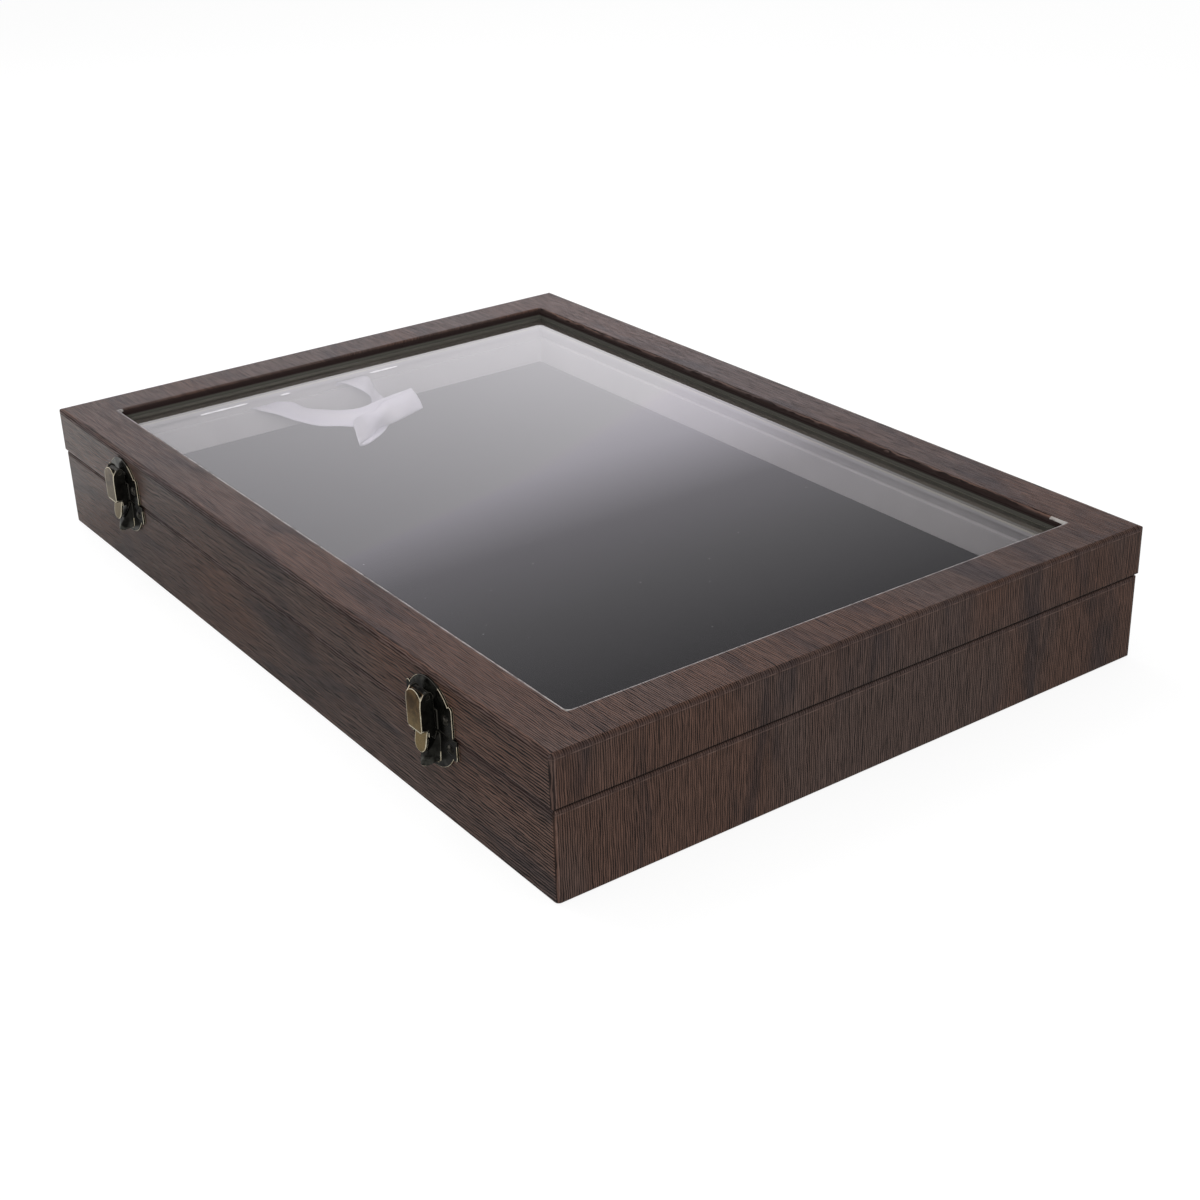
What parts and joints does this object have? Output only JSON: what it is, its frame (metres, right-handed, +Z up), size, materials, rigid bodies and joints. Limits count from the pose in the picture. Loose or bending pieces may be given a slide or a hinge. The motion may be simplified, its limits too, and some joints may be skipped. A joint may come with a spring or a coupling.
{
  "type": "pin display case",
  "caption": "Flat hinged display case with a glazed lid, a velvet pad for pins, a ribbon lid stay and hook-over latches on its front.",
  "frame": {"origin": "centre of the case's bottom face, where it rests", "axes": "+X along the latch front, +Y from the latches to the hinges, +Z up through the glass"},
  "size_m": [0.35, 0.2493, 0.049],
  "materials": {
    "leatherette": "embossed with a fine wood grain, satin",
    "board": "raw fibreboard",
    "lining": "matt pale grey paper over board",
    "card": "raw grey board",
    "foam": "open foam",
    "velvet": "black velvet",
    "ribbon": "satin ribbon",
    "felt": "matt felt",
    "pane": "clear polished glass",
    "bronze": "darkened, with bright worn edges",
    "aged_brass": "aged",
    "nail_brass": "aged domed heads"
  },
  "bodies": {
    "base": {"bottom_sheet": "felt", "base_wrap": "leatherette", "floor_board": "board", "base_front_rail": "board", "base_right_rail": "board", "base_back_rail": "board", "base_left_rail": "board", "liner_front": "lining", "liner_right": "lining", "liner_back": "lining", "liner_left": "lining", "pad_board": "card", "pad_foam": "foam", "pad_cover": "velvet", "stay_ribbon": "ribbon", "left_hinge_base_leaf": "aged_brass", "right_hinge_base_leaf": "aged_brass", "left_hinge_pin": "aged_brass", "right_hinge_pin": "aged_brass", "base_hinge_nails": "nail_brass", "left_latch_base_plate": "bronze", "right_latch_base_plate": "bronze", "base_latch_nails": "nail_brass"},
    "lid": {"lid_wrap": "leatherette", "lid_front_rail": "board", "lid_right_rail": "board", "lid_back_rail": "board", "lid_left_rail": "board", "glass_pane": "pane", "retainer_front": "lining", "retainer_right": "lining", "retainer_back": "lining", "retainer_left": "lining", "left_hinge_lid_leaf": "aged_brass", "right_hinge_lid_leaf": "aged_brass", "lid_hinge_nails": "nail_brass", "left_latch_lid_plate": "bronze", "right_latch_lid_plate": "bronze", "left_latch_pin": "aged_brass", "right_latch_pin": "aged_brass", "lid_latch_nails": "nail_brass"},
    "left_lever": {"left_latch_lever": "bronze"},
    "right_lever": {"right_latch_lever": "bronze"}
  },
  "joints": [
    {"name": "lid_hinge", "type": "hinge", "parent": "base", "child": "lid", "pos_m": [0, 0.1216, 0.031], "axis": [-1, 0, 0], "range_deg": [0, 75], "deforming": ["stay_ribbon"]},
    {"name": "left_lever_pivot", "type": "hinge", "parent": "lid", "child": "left_lever", "pos_m": [-0.112, -0.1233, 0.0427], "axis": [-1, 0, 0], "range_deg": [0, 100]},
    {"name": "right_lever_pivot", "type": "hinge", "parent": "lid", "child": "right_lever", "pos_m": [0.112, -0.1233, 0.0427], "axis": [-1, 0, 0], "range_deg": [0, 100]}
  ]
}
